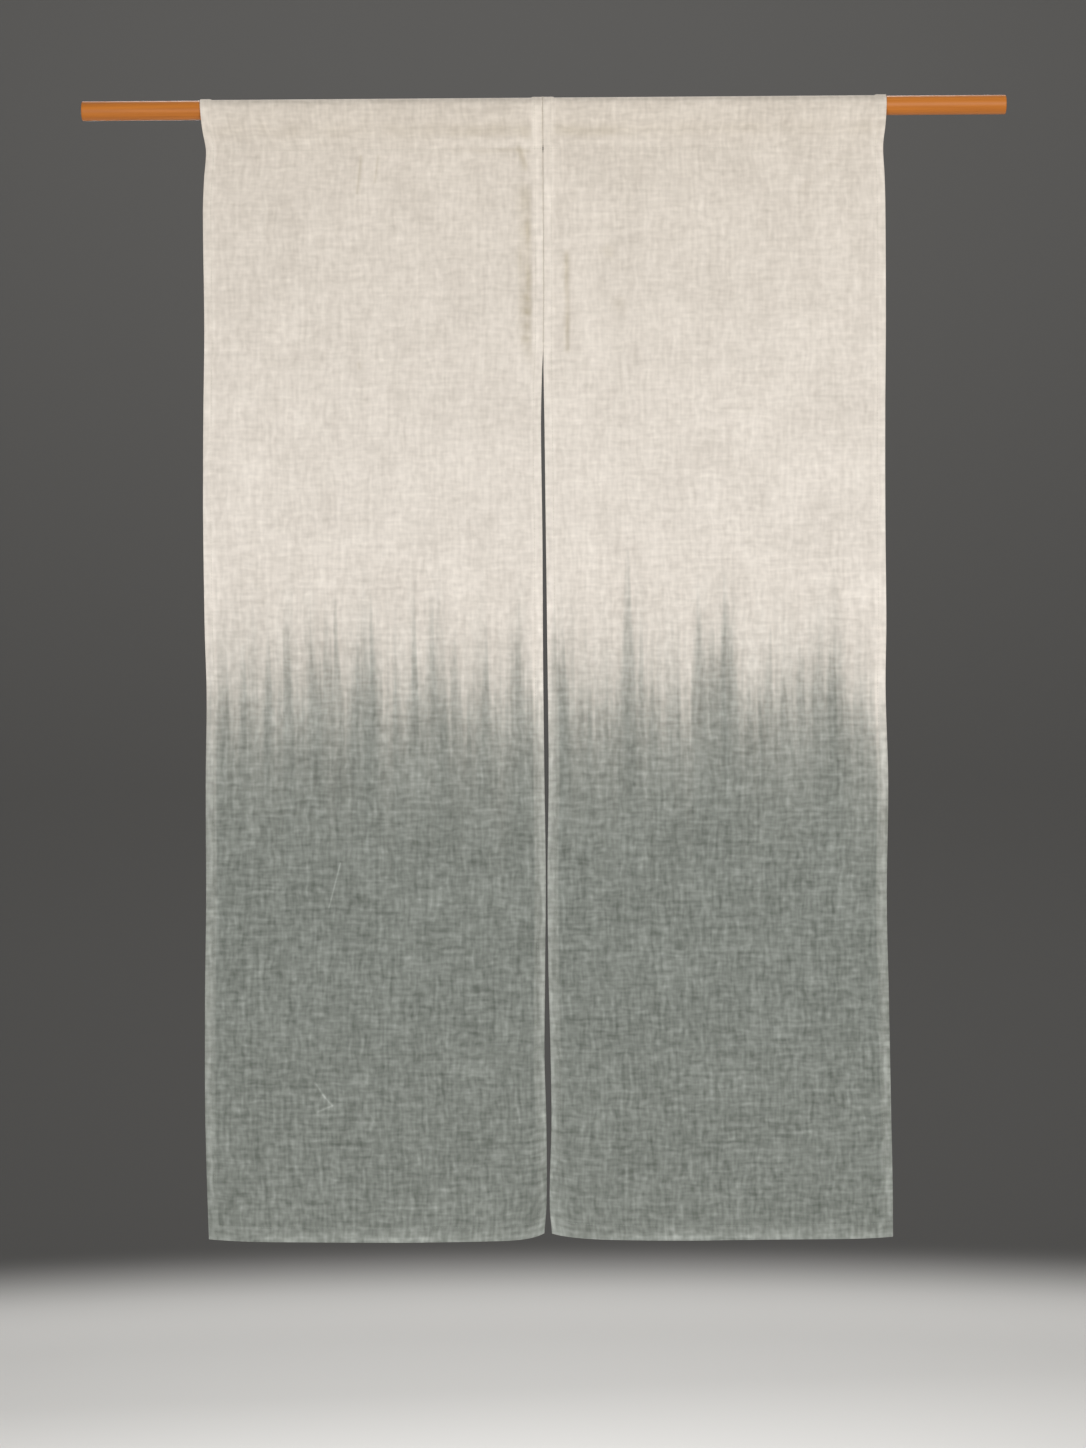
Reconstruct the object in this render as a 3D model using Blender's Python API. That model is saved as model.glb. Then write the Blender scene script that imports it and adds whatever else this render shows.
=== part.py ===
"""Noren curtain on its rod.

Two linen panels hang side by side from a round wooden rod. Each panel is one piece of
cloth: its top is turned over the rod and sewn down behind as a rod pocket, and its sides
and its bottom are hemmed. The panels are joined along the upper part of the middle and
hang apart below it, at the slit.

Frame: metres, +Z up, +X along the rod, the front of the curtain towards -Y.
The origin is the centre of the rod's left end face.
"""

import math
from collections import namedtuple

import bmesh
import bpy
from mathutils import Matrix, Vector

# Rod
ROD_LENGTH = 1.210
ROD_DIAMETER = 0.025
ROD_SIDES = 48
ROD_ROUNDING = 0.001          # softened rim of each end

# Curtain as it hangs
CURTAIN_LEFT = 0.1555         # from the rod's left end to the curtain's left edge
CURTAIN_WIDTH = 0.896
CURTAIN_HEIGHT = 1.500        # from the top of the pocket to the bottom hem
SEAM_LENGTH = 0.325           # how far down the panels are joined in the middle
TOUCHING_GAP = 0.0003         # between the joined panels
ROD_EASE = 0.0004             # between the rod and the cloth over it

# Cloth
CLOTH = 0.0012                # thickness of one layer
POCKET_DEPTH = 0.0675         # from the top fold to the pocket stitching
POCKET_FLAP = 0.006           # the turned edge of the pocket below its stitching
SIDE_HEM = 0.013
BOTTOM_HEM = 0.021
HEM_FOLD = 0.0009             # what the folded layers of a hem add to the thickness
HEM_STEP = 0.0015             # width of the step from a hem down to one layer

# Spacing of the panel's sections
ARC_STEPS = 10                # over the top half of the rod
LEAF_STEPS = 5                # each side of the pocket, from the rod to the stitching
DROP_STEPS = 30               # between the pocket and the bottom hem
FINEST_COLUMN = 0.0065        # beside the centre seam, where the cloth puckers
COLUMN_GROWTH = 1.30
WIDEST_COLUMN = 0.034

PANEL_WIDTH = (CURTAIN_WIDTH - TOUCHING_GAP) / 2
MIDDLE = CURTAIN_LEFT + CURTAIN_WIDTH / 2
POCKET_RADIUS = ROD_DIAMETER / 2 + ROD_EASE + CLOTH / 2
TOP = POCKET_RADIUS + CLOTH / 2
STITCH_LINE = TOP - POCKET_DEPTH
BOTTOM = TOP - CURTAIN_HEIGHT

# How the edges waver on the way down, as shifts towards +X from straight edges.
Edge = namedtuple("Edge", "drop left right")
EDGES = (
    Edge(drop=0.000, left=-0.0008, right=0.0018),
    Edge(drop=0.040, left=0.0022, right=0.0004),
    Edge(drop=0.068, left=0.0062, right=-0.0022),
    Edge(drop=0.105, left=0.0034, right=-0.0006),
    Edge(drop=0.150, left=0.0016, right=0.0002),
    Edge(drop=0.300, left=0.0024, right=-0.0004),
    Edge(drop=0.420, left=0.0004, right=-0.0022),
    Edge(drop=0.550, left=-0.0008, right=-0.0030),
    Edge(drop=0.690, left=0.0002, right=-0.0028),
    Edge(drop=0.780, left=0.0021, right=-0.0044),
    Edge(drop=0.900, left=0.0001, right=-0.0018),
    Edge(drop=1.050, left=-0.0005, right=-0.0048),
    Edge(drop=1.180, left=-0.0029, right=-0.0030),
    Edge(drop=1.320, left=-0.0037, right=-0.0013),
    Edge(drop=1.430, left=-0.0022, right=0.0004),
    Edge(drop=1.500, left=-0.0006, right=0.0006),
)

# The slit below the seam: where its middle lies beside the curtain's middle, and how
# wide it stands open.
Slit = namedtuple("Slit", "drop centre opening")
SLIT = (
    Slit(drop=0.000, centre=0.0000, opening=TOUCHING_GAP),
    Slit(drop=0.250, centre=-0.0004, opening=TOUCHING_GAP),
    Slit(drop=SEAM_LENGTH, centre=-0.0014, opening=TOUCHING_GAP),
    Slit(drop=0.360, centre=-0.0024, opening=0.0028),
    Slit(drop=0.430, centre=-0.0030, opening=0.0050),
    Slit(drop=0.580, centre=-0.0022, opening=0.0045),
    Slit(drop=0.740, centre=-0.0019, opening=0.0057),
    Slit(drop=0.890, centre=-0.0014, opening=0.0054),
    Slit(drop=1.020, centre=-0.0022, opening=0.0022),
    Slit(drop=1.140, centre=-0.0029, opening=0.0040),
    Slit(drop=1.260, centre=-0.0027, opening=0.0078),
    Slit(drop=1.350, centre=-0.0016, opening=0.0064),
    Slit(drop=1.460, centre=-0.0034, opening=0.0038),
    Slit(drop=1.500, centre=-0.0036, opening=0.0100),
)

# Soft folds: where across from the curtain's left edge, how far from the fold's crest to
# its foot, how far it stands back (+) or forward (-), the stretch of the drop that it
# runs over, and how far it drifts towards +X on its way down.
Fold = namedtuple("Fold", "name across reach depth begin end drift")
FOLDS = (
    Fold("seam ridge", 0.448, 0.016, -0.0016, 0.060, 0.345, -0.001),
    Fold("pucker left of the seam", 0.427, 0.012, 0.0026, 0.125, 0.330, 0.001),
    Fold("pucker right of the seam", 0.477, 0.010, 0.0018, 0.180, 0.350, -0.002),
    Fold("left outer roll", 0.030, 0.090, -0.0035, 0.110, 1.900, 0.010),
    Fold("left outer hollow", 0.150, 0.080, 0.0030, 0.300, 2.100, -0.012),
    Fold("left middle roll", 0.255, 0.085, -0.0030, 0.450, 2.000, 0.014),
    Fold("left inner hollow", 0.375, 0.070, 0.0028, 0.400, 1.900, -0.010),
    Fold("slit edge, left", 0.446, 0.040, -0.0030, 0.500, 1.700, 0.000),
    Fold("slit edge, right", 0.452, 0.045, -0.0034, 0.360, 1.300, 0.000),
    Fold("right inner hollow", 0.535, 0.075, 0.0026, 0.380, 2.000, 0.010),
    Fold("right middle roll", 0.640, 0.085, -0.0034, 0.250, 1.900, -0.012),
    Fold("right outer hollow", 0.745, 0.080, 0.0030, 0.350, 2.100, 0.014),
    Fold("right outer roll", 0.860, 0.085, -0.0032, 0.150, 1.800, -0.008),
)

# Where the hems draw the bottom corners up: the place across from the curtain's left
# edge, how far along the bottom the lift is felt, and the lift at the corner.
Corner = namedtuple("Corner", "side across reach lift curl")
CORNERS = (
    Corner(side=-1, across=0.000, reach=0.060, lift=0.0060, curl=0.004),
    Corner(side=-1, across=0.448, reach=0.020, lift=0.0100, curl=0.007),
    Corner(side=1, across=0.448, reach=0.034, lift=0.0095, curl=0.005),
    Corner(side=1, across=0.896, reach=0.034, lift=0.0030, curl=0.003),
)
CORNER_RISE_FROM = 1.15       # drop at which the lift begins to be felt
CORNER_CURL_FROM = 1.38       # drop at which the corners begin to curl back
POCKET_HOLD = 0.075           # below the stitching the folds grow over this length


def ease(share):
    """Smooth step from 0 to 1, level at both ends."""
    share = min(max(share, 0.0), 1.0)
    return share * share * (3 - 2 * share)


def follow(rows, drop, column):
    """A table's column at a drop, on one smooth curve through its rows."""
    values = [getattr(row, column) for row in rows]
    drops = [row.drop for row in rows]
    after = next((i for i, at in enumerate(drops) if at >= drop), len(rows) - 1)
    after = max(after, 1)
    before = after - 1
    span = drops[after] - drops[before]

    def slope(i):
        low, high = max(i - 1, 0), min(i + 1, len(rows) - 1)
        return (values[high] - values[low]) / (drops[high] - drops[low])

    t = min(max((drop - drops[before]) / span, 0.0), 1.0)
    start = values[before] * (1 + 2 * t) * (1 - t) ** 2 + values[after] * t * t * (3 - 2 * t)
    bend = slope(before) * t * (1 - t) ** 2 - slope(after) * t * t * (1 - t)
    return start + bend * span


def slit_opening(drop):
    """Gap between the panels, never less than what touching pieces keep."""
    if drop <= SEAM_LENGTH:
        return TOUCHING_GAP
    return max(follow(SLIT, drop, "opening"), TOUCHING_GAP)


def panel_edges(side, drop):
    """X of a panel's middle edge and of its outer edge at a drop."""
    middle = MIDDLE + follow(SLIT, drop, "centre") + side * slit_opening(drop) / 2
    if side < 0:
        return middle, CURTAIN_LEFT + follow(EDGES, drop, "left")
    return middle, CURTAIN_LEFT + CURTAIN_WIDTH + follow(EDGES, drop, "right")


def fold_depth(fold, across, drop):
    """How far one fold stands back at a place on the cloth."""
    if not fold.begin < drop < fold.end:
        return 0.0
    run = (drop - fold.begin) / (fold.end - fold.begin)
    crest = fold.across + fold.drift * run
    return fold.depth * math.sin(math.pi * run) ** 0.8 * math.exp(-((across - crest) / fold.reach) ** 2)


def hang_depth(side, across, drop):
    """How far the cloth stands back from the rod's plane at a place on it."""
    depth = 0.0
    for fold in FOLDS:
        apart = fold.name.startswith("slit edge")
        if apart and fold.name.endswith("left") != (side < 0):
            continue
        depth += fold_depth(fold, across, drop)
    for corner in CORNERS:
        if corner.side == side:
            felt = math.exp(-abs(across - corner.across) / (2 * corner.reach))
            fall = ease((drop - CORNER_CURL_FROM) / (CURTAIN_HEIGHT - CORNER_CURL_FROM))
            depth += corner.curl * felt * fall
    return depth * ease((drop - POCKET_DEPTH) / POCKET_HOLD)


def corner_lift(side, across, drop):
    """How far the cloth is drawn up at a place near a bottom corner."""
    fall = ease((drop - CORNER_RISE_FROM) / (CURTAIN_HEIGHT - CORNER_RISE_FROM))
    near = (c for c in CORNERS if c.side == side)
    return sum(c.lift * math.exp(-abs(across - c.across) / c.reach) for c in near) * fall


def pocket_leaf(share):
    """Half the pocket's width between the stitching (0) and the rod's middle (1)."""
    return CLOTH / 2 + (POCKET_RADIUS - CLOTH / 2) * (0.5 - 0.5 * math.cos(math.pi * share))


def section_path():
    """The cloth's centre line as (y, z), from the bottom edge up the front, over the rod
    and down behind it to the end of the flap under the pocket stitching."""
    hem_top = BOTTOM + BOTTOM_HEM
    flap_end = STITCH_LINE - POCKET_FLAP
    tail = [BOTTOM, hem_top, hem_top + HEM_STEP]
    reach = flap_end - (hem_top + HEM_STEP)
    tail += [hem_top + HEM_STEP + reach * i / DROP_STEPS for i in range(1, DROP_STEPS + 1)]
    path = [(-CLOTH / 2, z) for z in tail]
    shares = [i / LEAF_STEPS for i in range(LEAF_STEPS)]
    path += [(-pocket_leaf(share), STITCH_LINE * (1 - share)) for share in shares]
    turns = [math.pi * i / ARC_STEPS for i in range(ARC_STEPS + 1)]
    path += [(-POCKET_RADIUS * math.cos(a), POCKET_RADIUS * math.sin(a)) for a in turns]
    path += [(pocket_leaf(share), STITCH_LINE * (1 - share)) for share in reversed(shares)]
    path.append((CLOTH / 2, flap_end))
    return [Vector((0.0, y, z)) for y, z in path]


def outward(path, i):
    """Unit normal of the centre line at a point, out of the front and out of the pocket."""
    if path[i].z <= STITCH_LINE:
        return Vector((0.0, -1.0 if path[i].y < 0 else 1.0, 0.0))
    along = (path[i + 1] - path[i - 1]).normalized()
    return Vector((0.0, -along.z, along.y))


def hem_push(point, out, is_outer):
    """Direction in which the folded layers of a hem move a vertex of the section."""
    if point.z > STITCH_LINE:
        return out if is_outer else Vector()
    is_front = point.y < 0 and is_outer
    return Vector() if is_front else Vector((0.0, 1.0, 0.0))


def column_places():
    """Distances from a panel's middle edge at which its section is repeated."""
    last = PANEL_WIDTH - SIDE_HEM - HEM_STEP
    places = [SIDE_HEM, SIDE_HEM + HEM_STEP]
    step = FINEST_COLUMN
    while places[-1] + 1.5 * step < last:
        places.append(places[-1] + step)
        step = min(step * COLUMN_GROWTH, WIDEST_COLUMN)
    return places + [last, PANEL_WIDTH - SIDE_HEM, PANEL_WIDTH]


def draw_section(bm, push):
    """The cloth's section in the plane x = 0, closed into a loop round the rod."""
    path = section_path()
    pairs = []
    for i, point in enumerate(path):
        out = outward(path, i)
        outer = bm.verts.new(point + out * CLOTH / 2)
        inner = bm.verts.new(point - out * CLOTH / 2)
        outer[push] = hem_push(point, out, True)
        inner[push] = hem_push(point, out, False)
        pairs.append((outer, inner))
    for (outer_a, inner_a), (outer_b, inner_b) in zip(pairs, pairs[1:]):
        bm.faces.new((outer_a, inner_a, inner_b, outer_b))
    bmesh.ops.remove_doubles(bm, verts=bm.verts[:], dist=0.00001)


def is_hem(distance, drop):
    """Whether a place on a panel lies in one of its hems."""
    slack = HEM_STEP / 2
    at_side = distance < SIDE_HEM + slack or distance > PANEL_WIDTH - SIDE_HEM - slack
    return at_side or drop > CURTAIN_HEIGHT - BOTTOM_HEM - slack


def hang_panel(bm, push, side):
    """Moves the straight panel's vertices to where the cloth hangs."""
    for vert in bm.verts:
        distance, drop = vert.co.x, TOP - vert.co.z
        if is_hem(distance, drop):
            vert.co += vert[push] * HEM_FOLD
        middle, outer = panel_edges(side, drop)
        across = CURTAIN_WIDTH / 2 + side * distance
        vert.co.x = middle + (outer - middle) * distance / PANEL_WIDTH
        vert.co.y += hang_depth(side, across, drop)
        vert.co.z += corner_lift(side, across, drop)


def material(name, colour, roughness):
    """A plain surface with its colour and roughness."""
    finish = bpy.data.materials.new(name)
    finish.use_nodes = True
    shader = finish.node_tree.nodes["Principled BSDF"]
    shader.inputs["Base Color"].default_value = (*colour, 1.0)
    shader.inputs["Roughness"].default_value = roughness
    shader.inputs["Metallic"].default_value = 0.0
    return finish


def add_object(name, bm, finish, smooth_angle):
    """Makes the bmesh an object of its own, smooth up to an angle."""
    mesh = bpy.data.meshes.new(name)
    bmesh.ops.recalc_face_normals(bm, faces=bm.faces[:])
    if bm.calc_volume(signed=True) < 0:
        bmesh.ops.reverse_faces(bm, faces=bm.faces[:])
    bm.to_mesh(mesh)
    bm.free()
    mesh.shade_smooth()
    mesh.set_sharp_from_angle(angle=math.radians(smooth_angle))
    mesh.materials.append(finish)
    piece = bpy.data.objects.new(name, mesh)
    bpy.context.scene.collection.objects.link(piece)
    return piece


def make_rod():
    """The round rod, its ends plain with a softened rim."""
    bm = bmesh.new()
    lie_along_x = Matrix.Translation((ROD_LENGTH / 2, 0, 0)) @ Matrix.Rotation(math.pi / 2, 4, "Y")
    radius = ROD_DIAMETER / 2
    bmesh.ops.create_cone(bm, cap_ends=True, segments=ROD_SIDES, radius1=radius, radius2=radius,
                          depth=ROD_LENGTH, matrix=lie_along_x)
    ends = [f for f in bm.faces if len(f.verts) == ROD_SIDES]
    rims = list({edge for face in ends for edge in face.edges})
    bmesh.ops.bevel(bm, geom=rims, offset=ROD_ROUNDING, segments=2, profile=0.5,
                    affect="EDGES", material=-1)
    add_object("rod", bm, material("warm varnished wood", (0.42, 0.17, 0.055), 0.42), 30)


def make_panel(name, side):
    """One linen panel; side is -1 for the left one and 1 for the right one."""
    bm = bmesh.new()
    push = bm.verts.layers.float_vector.new("hem_push")
    draw_section(bm, push)
    reached = 0.0
    for place in column_places():
        section = [f for f in bm.faces if all(abs(v.co.x - reached) < 1e-6 for v in f.verts)]
        rims = list({edge for face in section for edge in face.edges})
        moved = bmesh.ops.extrude_face_region(bm, geom=section + rims)
        verts = [item for item in moved["geom"] if isinstance(item, bmesh.types.BMVert)]
        bmesh.ops.translate(bm, verts=verts, vec=(place - reached, 0.0, 0.0))
        reached = place
    hang_panel(bm, push, side)
    add_object(name, bm, material(name + " linen", (0.62, 0.58, 0.51), 0.9), 50)


def main():
    for old in list(bpy.data.objects):
        bpy.data.objects.remove(old, do_unlink=True)
    make_rod()
    make_panel("panel_left", -1)
    make_panel("panel_right", 1)


main()
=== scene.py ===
"""Looks of the noren curtain: dip-dyed linen panels with sewn hems, on a varnished rod.

Metres, +Z up, +X along the rod, the curtain's front towards -Y. The origin is the centre
of the rod's left end face.
"""

import math
from collections import namedtuple
from functools import reduce

import bmesh
import bpy
from mathutils import Matrix, Vector, noise


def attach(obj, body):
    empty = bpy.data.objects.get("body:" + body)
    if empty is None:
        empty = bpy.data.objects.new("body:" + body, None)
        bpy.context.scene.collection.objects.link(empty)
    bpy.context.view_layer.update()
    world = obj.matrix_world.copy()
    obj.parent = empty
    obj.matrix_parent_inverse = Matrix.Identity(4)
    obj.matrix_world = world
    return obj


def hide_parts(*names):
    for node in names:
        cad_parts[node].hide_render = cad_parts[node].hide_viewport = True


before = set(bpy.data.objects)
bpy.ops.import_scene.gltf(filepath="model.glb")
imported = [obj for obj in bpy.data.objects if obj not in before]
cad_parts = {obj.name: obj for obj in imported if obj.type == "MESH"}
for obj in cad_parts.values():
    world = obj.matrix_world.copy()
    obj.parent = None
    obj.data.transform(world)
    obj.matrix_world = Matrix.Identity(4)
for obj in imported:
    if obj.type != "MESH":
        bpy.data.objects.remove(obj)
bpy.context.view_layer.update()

# Rod
ROD_LENGTH = 1.210
ROD_DIAMETER = 0.025
ROD_SIDES = 96
ROD_ROUNDING = 0.001

# Curtain as it hangs
CURTAIN_LEFT = 0.1555  # from the rod's left end to the curtain's left edge
CURTAIN_WIDTH = 0.896
CURTAIN_HEIGHT = 1.500
SEAM_LENGTH = 0.325  # how far down the panels are joined in the middle
TOUCHING_GAP = 0.00006  # between the joined panels, whose stitches draw them together
TOP = 0.0141  # height of the top fold over the rod's middle
POCKET_DEPTH = 0.0675  # from the top fold to the pocket stitching
PANEL_WIDTH = (CURTAIN_WIDTH - TOUCHING_GAP) / 2
MIDDLE = CURTAIN_LEFT + CURTAIN_WIDTH / 2
STITCH_LINE = TOP - POCKET_DEPTH
BOTTOM = TOP - CURTAIN_HEIGHT

# Cloth
LINEN = 0.00045  # thickness of one layer
PITCH = 0.00052  # from layer to layer of a hem
FRONT = -0.00095  # y of the front layer, where it hangs below the pocket
SIDE_HEM = 0.013
SIDE_TURN = 0.009  # second turning inside a side hem
SIDE_STITCH = 0.0105  # from the edge to the side hem's stitching
BOTTOM_HEM = 0.021
BOTTOM_TURN = 0.017
BOTTOM_STITCH = 0.0193
BOTTOM_HEM_TOP = CURTAIN_HEIGHT - BOTTOM_HEM
POCKET_FLAP = 0.006  # the pocket's back below its stitching
POCKET_TURN = 0.012  # turned-in edge of the pocket's back
ROD_EASE = 0.0003
POCKET_RADIUS = ROD_DIAMETER / 2 + ROD_EASE + LINEN / 2
FOLD_STEPS = 6  # round a fold of the cloth
LEAF_STEPS = 12  # up the pocket's front, and up its back
ROD_STEPS = 28  # over the rod
NEAR_COLUMN = 0.0014  # column spacing beside the seam, where the cloth puckers
WIDE_COLUMN = 0.0052
NEAR_REACH = 0.036  # how far from the seam the columns stay close
NEAR_ROW = 0.0044  # row spacing down to a little past the end of the seam
NEAR_ROWS_TO = SEAM_LENGTH + 0.02
WIDE_ROW = 0.0064
LEAST_STEP = 0.001  # between two columns or rows of the open cloth
BEND_ROOM = 0.0008  # from a turned end's fold to its last flat row
HEM_STEP = 0.0024  # across which a hem's layers come in
HEM_PRESS = 0.83  # how firmly crossing hems are pressed together
SAME_PLACE = 1e-6  # within which two places count as one

# What is left to chance: noise of a width and a length, its strength, and its seed.
Streak = namedtuple("Streak", "width length strength seed")
CRUMPLES = [Streak(*row) for row in (
    (0.085, 0.120, 0.0010, 3.1), (0.040, 0.052, 0.0006, 7.7), (0.017, 0.021, 0.00022, 1.9),
)]
RIPPLE = Streak(0.015, 0.015, 0.0006, 12.3)  # along a hem's stitching, which draws it in
RIPPLE_REACH = 0.006

# How the edges waver on the way down, as shifts towards +X from straight edges.
Edge = namedtuple("Edge", "drop left right")
EDGES = [Edge(*row) for row in (
    (0.000, -0.0008, 0.0018), (0.040, 0.0022, 0.0004), (0.068, 0.0062, -0.0022),
    (0.105, 0.0034, -0.0006), (0.150, 0.0016, 0.0002), (0.300, 0.0024, -0.0004),
    (0.420, 0.0004, -0.0022), (0.550, -0.0008, -0.0030), (0.690, 0.0002, -0.0028),
    (0.780, 0.0021, -0.0044), (0.900, 0.0001, -0.0018), (1.050, -0.0005, -0.0048),
    (1.180, -0.0029, -0.0030), (1.320, -0.0037, -0.0013), (1.430, -0.0022, 0.0004),
    (1.500, -0.0006, 0.0006),
)]

# The slit below the seam: its middle beside the curtain's middle, and its opening.
Slit = namedtuple("Slit", "drop centre opening")
SLIT = [Slit(*row) for row in (
    (0.000, 0.0000, TOUCHING_GAP), (0.250, -0.0004, TOUCHING_GAP),
    (SEAM_LENGTH, -0.0014, TOUCHING_GAP), (0.360, -0.0024, 0.0019),
    (0.430, -0.0030, 0.0045), (0.580, -0.0022, 0.0045),
    (0.740, -0.0019, 0.0057), (0.890, -0.0014, 0.0054),
    (1.020, -0.0022, 0.0022), (1.140, -0.0029, 0.0040),
    (1.260, -0.0027, 0.0078), (1.350, -0.0016, 0.0064),
    (1.460, -0.0034, 0.0038), (1.500, -0.0036, 0.0100),
)]

# Soft folds: place across from the curtain's left edge, reach from crest to foot, how far
# the cloth stands back (+) or forward (-), the stretch of the drop, the drift to +X, and
# the panel that has it alone, -1 left or 1 right.
Fold = namedtuple("Fold", "name across reach depth begin end drift side", defaults=(0,))
FOLDS = [Fold(*row) for row in (
    ("seam ridge", 0.448, 0.016, -0.0016, 0.060, 0.345, -0.001),
    ("pucker left of the seam", 0.427, 0.012, 0.0026, 0.125, 0.330, 0.001),
    ("pucker right of the seam", 0.477, 0.010, 0.0018, 0.180, 0.350, -0.002),
    ("left outer roll", 0.030, 0.090, -0.0035, 0.110, 1.900, 0.010),
    ("left outer hollow", 0.150, 0.080, 0.0030, 0.300, 2.100, -0.012),
    ("left middle roll", 0.255, 0.085, -0.0030, 0.450, 2.000, 0.014),
    ("left inner hollow", 0.375, 0.070, 0.0028, 0.400, 1.900, -0.010),
    ("slit edge, left", 0.446, 0.040, -0.0030, 0.500, 1.700, 0.000, -1),
    ("slit edge, right", 0.452, 0.045, -0.0034, 0.360, 1.300, 0.000, 1),
    ("right inner hollow", 0.535, 0.075, 0.0026, 0.380, 2.000, 0.010),
    ("right middle roll", 0.640, 0.085, -0.0034, 0.250, 1.900, -0.012),
    ("right outer hollow", 0.745, 0.080, 0.0030, 0.350, 2.100, 0.014),
    ("right outer roll", 0.860, 0.085, -0.0032, 0.150, 1.800, -0.008),
)]

# Small creases, each a soft ridge (-) or trough (+) from one place on the cloth to another.
Crease = namedtuple("Crease", "name across drop to_across to_drop width depth")
CREASES = [Crease(*row) for row in (
    ("pull in the pocket", 0.273, 0.040, 0.443, 0.066, 0.007, 0.0006),
    ("ridge under the pull", 0.330, 0.062, 0.440, 0.078, 0.007, -0.0007),
    ("gather under the pocket, left", 0.205, 0.074, 0.208, 0.116, 0.005, 0.0009),
    ("gather under the pocket, right", 0.229, 0.074, 0.226, 0.112, 0.005, 0.0009),
    ("tension fold at the right", 0.850, 0.068, 0.779, 0.115, 0.008, -0.0009),
    ("second tension fold", 0.868, 0.082, 0.802, 0.128, 0.008, -0.0007),
    ("tension fold at the left", 0.022, 0.070, 0.074, 0.102, 0.008, -0.0007),
    ("short crease in the dyed cloth", 0.177, 1.002, 0.162, 1.060, 0.004, -0.0011),
    ("bent crease, upper part", 0.145, 1.290, 0.167, 1.320, 0.005, -0.0010),
    ("bent crease, lower part", 0.167, 1.320, 0.148, 1.328, 0.004, -0.0008),
    ("nip beside the seam", 0.415, 0.128, 0.423, 0.150, 0.005, 0.0008),
    ("pucker's sharp line, left", 0.426, 0.130, 0.428, 0.275, 0.0034, 0.0014),
    ("pucker's sharp line, right", 0.477, 0.190, 0.479, 0.335, 0.0032, 0.0012),
    ("slack over the stitching, left", 0.300, 0.056, 0.436, 0.060, 0.006, -0.0010),
    ("slack over the stitching, right", 0.462, 0.054, 0.600, 0.056, 0.006, -0.0008),
)]

# Little dents that the seam's stitches draw into the cloth beside it.
Dent = namedtuple("Dent", "across drop reach depth")
DENTS = [Dent(*row) for row in (
    (0.424, 0.145, 0.0060, 0.0010), (0.427, 0.176, 0.0060, 0.0014), (0.428, 0.205, 0.0065, 0.0014),
    (0.426, 0.245, 0.0060, 0.0012), (0.425, 0.262, 0.0055, 0.0012), (0.426, 0.280, 0.0055, 0.0012),
    (0.425, 0.299, 0.0055, 0.0010), (0.425, 0.318, 0.0055, 0.0009), (0.476, 0.236, 0.0055, 0.0009),
    (0.478, 0.268, 0.0060, 0.0011), (0.479, 0.291, 0.0060, 0.0014), (0.478, 0.315, 0.0055, 0.0009),
    (0.548, 0.276, 0.0070, 0.0007), (0.532, 0.206, 0.0060, 0.0006), (0.205, 0.351, 0.0050, 0.0007),
)]

# Where the hems draw the bottom corners up.
Corner = namedtuple("Corner", "side across reach lift curl")
CORNERS = [Corner(*row) for row in (
    (-1, 0.000, 0.060, 0.0060, 0.004),
    (-1, 0.448, 0.020, 0.0100, 0.007),
    (1, 0.448, 0.034, 0.0095, 0.005),
    (1, 0.896, 0.034, 0.0030, 0.003),
)]
CORNER_RISE_FROM = 1.15
CORNER_CURL_FROM = 1.38
POCKET_HOLD = 0.075  # the stretch below the pocket over which the folds come in

# The dye line: how the dye climbed (+) or stayed low (-) at places across the curtain.
DYE_LINE = 0.806
Tongue = namedtuple("Tongue", "across reach rise")
TONGUES = [Tongue(*row) for row in (
    (0.006, 0.008, 0.027), (0.026, 0.013, 0.017), (0.049, 0.008, 0.019), (0.062, 0.008, 0.013),
    (0.083, 0.006, 0.005), (0.110, 0.010, 0.027), (0.138, 0.017, 0.027), (0.163, 0.006, -0.013),
    (0.177, 0.005, 0.011), (0.198, 0.008, 0.016), (0.215, 0.011, 0.038), (0.237, 0.009, -0.016),
    (0.253, 0.007, 0.013), (0.277, 0.006, 0.019), (0.297, 0.004, -0.011), (0.309, 0.011, 0.037),
    (0.345, 0.014, -0.009), (0.370, 0.004, 0.009), (0.390, 0.010, -0.030), (0.417, 0.011, 0.026),
    (0.433, 0.005, -0.011), (0.460, 0.009, 0.044), (0.474, 0.005, 0.009), (0.505, 0.020, -0.005),
    (0.537, 0.006, -0.011), (0.554, 0.008, 0.024), (0.568, 0.006, 0.016), (0.600, 0.020, 0.003),
    (0.629, 0.010, -0.011), (0.649, 0.009, 0.031), (0.666, 0.010, 0.020), (0.684, 0.011, 0.041),
    (0.698, 0.005, 0.016), (0.722, 0.010, -0.008), (0.737, 0.005, 0.009), (0.753, 0.005, -0.006),
    (0.781, 0.007, -0.005), (0.806, 0.009, 0.020), (0.827, 0.011, 0.037), (0.858, 0.017, -0.031),
    (0.878, 0.010, -0.024), (0.890, 0.006, -0.031),
)]

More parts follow.
